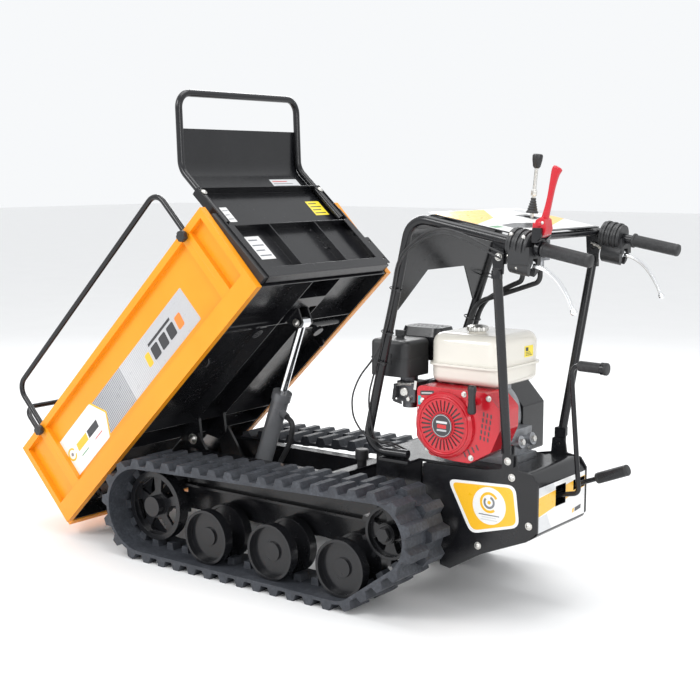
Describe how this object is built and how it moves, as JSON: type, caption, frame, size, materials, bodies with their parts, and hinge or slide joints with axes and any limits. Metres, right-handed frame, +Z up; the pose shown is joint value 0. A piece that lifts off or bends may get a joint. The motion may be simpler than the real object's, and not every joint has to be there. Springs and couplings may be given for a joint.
{
  "type": "tracked power wheelbarrow",
  "caption": "Walk-behind tracked mini dumper with a hydraulically tipping extendable bed, petrol engine and handlebar console, stored with the bed tipped.",
  "frame": {"origin": "on the ground, in the middle of the machine's length and width", "axes": "+X rearwards, towards the operator; +Y to the machine's right; +Z up"},
  "size_m": [2.1309, 0.716, 1.3978],
  "materials": {
    "panel_orange": "satin powder coat",
    "black_steel": "gloss black powder coat",
    "track_rubber": "matt moulded rubber, dusty",
    "rubber": "matt",
    "black_plastic": "moulded, satin",
    "red_plastic": "gloss",
    "tank_white": "gloss",
    "cast_aluminium": "as cast",
    "polished_aluminium": "polished",
    "chrome_rod": "polished",
    "grey_paint": "satin",
    "zinc": "zinc plated",
    "gearbox_grey": "painted"
  },
  "bodies": {
    "chassis": {"chassis_frame": "black_steel", "side_plates": "black_steel", "rear_cover": "black_steel", "gearbox": "gearbox_grey", "crankcase": "cast_aluminium", "fan_cover": "red_plastic", "fuel_tank": "tank_white", "carburettor": "cast_aluminium", "air_cleaner": "black_plastic", "muffler": "black_steel", "belt_guard": "black_steel", "console_frame": "black_steel", "console_shell": "black_steel", "rear_struts": "black_steel", "hand_grips": "rubber", "lever_housings": "black_plastic", "clutch_bracket": "black_steel", "valve_block": "cast_aluminium", "hydraulic_hoses": "rubber", "control_cables": "rubber", "bed_buffer": "rubber", "frame_bolts": "zinc", "track_left": "track_rubber", "track_right": "track_rubber"},
    "bed": {"bed_floor": "black_steel", "headboard": "black_steel", "headboard_handle": "black_steel"},
    "cylinder_rod": {"cylinder_rod": "chrome_rod"},
    "cylinder_barrel": {"cylinder_barrel": "grey_paint", "cylinder_hose": "rubber"},
    "front_gate": {"front_panel": "panel_orange"},
    "front_rail": {"front_rail": "black_steel"},
    "clutch_lever": {"clutch_lever": "red_plastic"},
    "valve_lever": {"valve_lever": "zinc"},
    "gear_lever": {"gear_lever": "black_steel"},
    "drive_lever": {"drive_lever": "black_steel"},
    "recoil_grip": {"recoil_grip": "black_plastic"},
    "fuel_cap": {"fuel_cap": "black_plastic"},
    "side_gate_left": {"side_panel_left": "panel_orange"},
    "side_rail_left": {"side_rail_left": "black_steel"},
    "rail_knob_left_front": {"rail_knob_left_front": "black_plastic"},
    "rail_knob_left_rear": {"rail_knob_left_rear": "black_plastic"},
    "side_gate_right": {"side_panel_right": "panel_orange"},
    "side_rail_right": {"side_rail_right": "black_steel"},
    "rail_knob_right_front": {"rail_knob_right_front": "black_plastic"},
    "rail_knob_right_rear": {"rail_knob_right_rear": "black_plastic"},
    "steering_lever_left": {"steering_lever_left": "polished_aluminium"},
    "steering_lever_right": {"steering_lever_right": "polished_aluminium"},
    "sprocket_left": {"sprocket_left": "black_steel"},
    "idler_left": {"idler_left": "black_steel"},
    "roller_left_front": {"roller_left_front": "black_steel"},
    "roller_left_middle": {"roller_left_middle": "black_steel"},
    "roller_left_rear": {"roller_left_rear": "black_steel"},
    "sprocket_right": {"sprocket_right": "black_steel"},
    "idler_right": {"idler_right": "black_steel"},
    "roller_right_front": {"roller_right_front": "black_steel"},
    "roller_right_middle": {"roller_right_middle": "black_steel"},
    "roller_right_rear": {"roller_right_rear": "black_steel"}
  },
  "joints": [
    {"name": "bed_tip", "type": "hinge", "parent": "chassis", "child": "bed", "pos_m": [-0.39613, 0, 0.32308], "axis": [0, 1, 0], "range_deg": [0, 44.4]},
    {"name": "rod_pivot", "type": "hinge", "parent": "bed", "child": "cylinder_rod", "pos_m": [-0.00563, 0, 0.71669], "axis": [0, 1, 0], "range_deg": [-3.95, 0]},
    {"name": "cylinder_slide", "type": "slide", "parent": "cylinder_rod", "child": "cylinder_barrel", "axis": [0.339, 0, 0.9408], "range_m": [0, 0.1975]},
    {"name": "extend_left", "type": "slide", "parent": "bed", "child": "side_gate_left", "axis": [0, -1, 0], "range_m": [0, 0.12]},
    {"name": "lift_rail_left", "type": "slide", "parent": "side_gate_left", "child": "side_rail_left", "axis": [-0.6997, 0, 0.7145], "range_m": [0, 0.12]},
    {"name": "turn_rail_knob_left_front", "type": "hinge", "parent": "side_gate_left", "child": "rail_knob_left_front", "pos_m": [-0.83341, -0.32, 0.33855], "axis": [0, -1, 0], "range_deg": [0, 360]},
    {"name": "turn_rail_knob_left_rear", "type": "hinge", "parent": "side_gate_left", "child": "rail_knob_left_rear", "pos_m": [-0.17824, -0.32, 0.98015], "axis": [0, -1, 0], "range_deg": [0, 360]},
    {"name": "extend_right", "type": "slide", "parent": "bed", "child": "side_gate_right", "axis": [0, 1, 0], "range_m": [0, 0.12]},
    {"name": "lift_rail_right", "type": "slide", "parent": "side_gate_right", "child": "side_rail_right", "axis": [-0.6997, 0, 0.7145], "range_m": [0, 0.12]},
    {"name": "turn_rail_knob_right_front", "type": "hinge", "parent": "side_gate_right", "child": "rail_knob_right_front", "pos_m": [-0.83341, 0.32, 0.33855], "axis": [0, 1, 0], "range_deg": [0, 360]},
    {"name": "turn_rail_knob_right_rear", "type": "hinge", "parent": "side_gate_right", "child": "rail_knob_right_rear", "pos_m": [-0.17824, 0.32, 0.98015], "axis": [0, 1, 0], "range_deg": [0, 360]},
    {"name": "extend_front", "type": "slide", "parent": "bed", "child": "front_gate", "axis": [-0.7145, 0, -0.6997], "range_m": [0, 0.12]},
    {"name": "lift_rail_front", "type": "slide", "parent": "front_gate", "child": "front_rail", "axis": [-0.6997, 0, 0.7145], "range_m": [0, 0.12]},
    {"name": "squeeze_steering_lever_left", "type": "hinge", "parent": "chassis", "child": "steering_lever_left", "pos_m": [0.899, -0.249, 0.944], "axis": [0, -1, 0], "range_deg": [0, 20], "stiffness_Nm_per_rad": 5, "springref_deg": -20.05},
    {"name": "squeeze_steering_lever_right", "type": "hinge", "parent": "chassis", "child": "steering_lever_right", "pos_m": [0.899, 0.249, 0.944], "axis": [0, -1, 0], "range_deg": [0, 20], "stiffness_Nm_per_rad": 5, "springref_deg": -20.05},
    {"name": "clutch", "type": "hinge", "parent": "chassis", "child": "clutch_lever", "pos_m": [0.933, -0.252, 1.02], "axis": [0, 1, 0], "range_deg": [0, 70]},
    {"name": "tip_valve", "type": "hinge", "parent": "chassis", "child": "valve_lever", "pos_m": [0.699, 0.11, 1.001], "axis": [0, 1, 0], "range_deg": [-15, 15], "stiffness_Nm_per_rad": 12},
    {"name": "gear_change", "type": "hinge", "parent": "chassis", "child": "gear_lever", "pos_m": [0.811, -0.01, 0.312], "axis": [0, 1, 0], "range_deg": [-12, 12]},
    {"name": "drive_select", "type": "hinge", "parent": "chassis", "child": "drive_lever", "pos_m": [0.811, 0.078, 0.325], "axis": [0, 0, 1], "range_deg": [0, 26]},
    {"name": "recoil_pull", "type": "slide", "parent": "chassis", "child": "recoil_grip", "axis": [0, -1, 0], "range_m": [0, 0.3], "stiffness_N_per_m": 20, "springref_m": -0.3},
    {"name": "fuel_cap_turn", "type": "hinge", "parent": "chassis", "child": "fuel_cap", "pos_m": [0.63, -0.04, 0.75], "axis": [0, 0, 1], "range_deg": [0, 90]},
    {"name": "drive_left", "type": "hinge", "parent": "chassis", "child": "sprocket_left", "pos_m": [0.515, -0.268, 0.222], "axis": [0, 1, 0], "continuous": true, "deforming": ["track_left"]},
    {"name": "turn_idler_left", "type": "hinge", "parent": "chassis", "child": "idler_left", "pos_m": [-0.355, -0.268, 0.156], "axis": [0, 1, 0], "continuous": true},
    {"name": "turn_roller_left_front", "type": "hinge", "parent": "chassis", "child": "roller_left_front", "pos_m": [-0.106, -0.2725, 0.11], "axis": [0, 1, 0], "continuous": true},
    {"name": "turn_roller_left_middle", "type": "hinge", "parent": "chassis", "child": "roller_left_middle", "pos_m": [0.138, -0.2725, 0.11], "axis": [0, 1, 0], "continuous": true},
    {"name": "turn_roller_left_rear", "type": "hinge", "parent": "chassis", "child": "roller_left_rear", "pos_m": [0.384, -0.2725, 0.11], "axis": [0, 1, 0], "continuous": true},
    {"name": "drive_right", "type": "hinge", "parent": "chassis", "child": "sprocket_right", "pos_m": [0.515, 0.268, 0.222], "axis": [0, 1, 0], "continuous": true, "deforming": ["track_right"]},
    {"name": "turn_idler_right", "type": "hinge", "parent": "chassis", "child": "idler_right", "pos_m": [-0.355, 0.268, 0.156], "axis": [0, 1, 0], "continuous": true},
    {"name": "turn_roller_right_front", "type": "hinge", "parent": "chassis", "child": "roller_right_front", "pos_m": [-0.106, 0.2725, 0.11], "axis": [0, 1, 0], "continuous": true},
    {"name": "turn_roller_right_middle", "type": "hinge", "parent": "chassis", "child": "roller_right_middle", "pos_m": [0.138, 0.2725, 0.11], "axis": [0, 1, 0], "continuous": true},
    {"name": "turn_roller_right_rear", "type": "hinge", "parent": "chassis", "child": "roller_right_rear", "pos_m": [0.384, 0.2725, 0.11], "axis": [0, 1, 0], "continuous": true}
  ],
  "couplings": [
    {"joint": "rod_pivot", "follows": "bed_tip", "ratio": -0.087368},
    {"joint": "cylinder_slide", "follows": "bed_tip", "m_per_rad": 0.25354},
    {"joint": "turn_idler_left", "follows": "drive_left", "ratio": 0.74809},
    {"joint": "turn_roller_left_front", "follows": "drive_left", "ratio": 1.225},
    {"joint": "turn_roller_left_middle", "follows": "drive_left", "ratio": 1.225},
    {"joint": "turn_roller_left_rear", "follows": "drive_left", "ratio": 1.225},
    {"joint": "turn_idler_right", "follows": "drive_right", "ratio": 0.74809},
    {"joint": "turn_roller_right_front", "follows": "drive_right", "ratio": 1.225},
    {"joint": "turn_roller_right_middle", "follows": "drive_right", "ratio": 1.225},
    {"joint": "turn_roller_right_rear", "follows": "drive_right", "ratio": 1.225}
  ]
}
